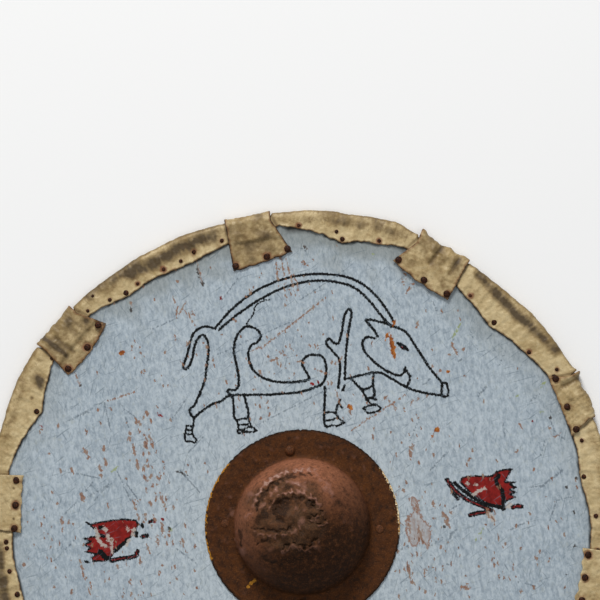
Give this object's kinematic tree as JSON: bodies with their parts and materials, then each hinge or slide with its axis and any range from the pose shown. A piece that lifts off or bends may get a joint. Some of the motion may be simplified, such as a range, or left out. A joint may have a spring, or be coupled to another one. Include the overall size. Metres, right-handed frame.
{
  "type": "round shield",
  "caption": "Round wooden shield, painted pale blue with a boar and red beast heads, with a hammered iron boss over the hand grip and a nailed rawhide rim.",
  "frame": {"origin": "on the surface that the shield lies on, under the middle of its board", "axes": "+Z out of the shield's front, +Y to the top of the painted picture, +X to the right of it as seen from the front"},
  "size_m": [0.6503, 0.6504, 0.0786],
  "materials": {
    "board_paint": "flaking matt paint over bare wood",
    "grip_wood": "hand-worn bare wood",
    "rawhide": "dried rawhide, creased and grimy",
    "boss_iron": "hammered and rusted",
    "rivet_iron": "hammered and rusted",
    "tack_iron": "dark forged iron with rust"
  },
  "bodies": {
    "root": {"board": "board_paint", "boss": "boss_iron", "grip": "grip_wood", "boss_rivet_top": "rivet_iron", "boss_rivet_bottom": "rivet_iron", "boss_rivet_left": "rivet_iron", "boss_rivet_right": "rivet_iron", "rove_top": "rivet_iron", "rove_bottom": "rivet_iron", "edging_1": "rawhide", "edging_2": "rawhide", "edging_3": "rawhide", "edging_4": "rawhide", "edging_5": "rawhide", "edging_6": "rawhide", "edging_7": "rawhide", "edging_8": "rawhide", "edging_9": "rawhide", "edging_10": "rawhide", "patch_1": "rawhide", "patch_2": "rawhide", "patch_3": "rawhide", "patch_4": "rawhide", "patch_5": "rawhide", "patch_6": "rawhide", "patch_7": "rawhide", "patch_8": "rawhide", "patch_9": "rawhide", "patch_10": "rawhide", "tack_1_1": "tack_iron", "tack_1_2": "tack_iron", "tack_1_3": "tack_iron", "tack_2_1": "tack_iron", "tack_2_2": "tack_iron", "tack_2_3": "tack_iron", "tack_3_1": "tack_iron", "tack_3_2": "tack_iron", "tack_3_3": "tack_iron", "tack_4_1": "tack_iron", "tack_4_2": "tack_iron", "tack_4_3": "tack_iron", "tack_5_1": "tack_iron", "tack_5_2": "tack_iron", "tack_5_3": "tack_iron", "tack_6_1": "tack_iron", "tack_6_2": "tack_iron", "tack_6_3": "tack_iron", "tack_7_1": "tack_iron", "tack_7_2": "tack_iron", "tack_7_3": "tack_iron", "tack_8_1": "tack_iron", "tack_8_2": "tack_iron", "tack_8_3": "tack_iron", "tack_9_1": "tack_iron", "tack_9_2": "tack_iron", "tack_9_3": "tack_iron", "tack_10_1": "tack_iron", "tack_10_2": "tack_iron", "tack_10_3": "tack_iron"}
  },
  "joints": []
}
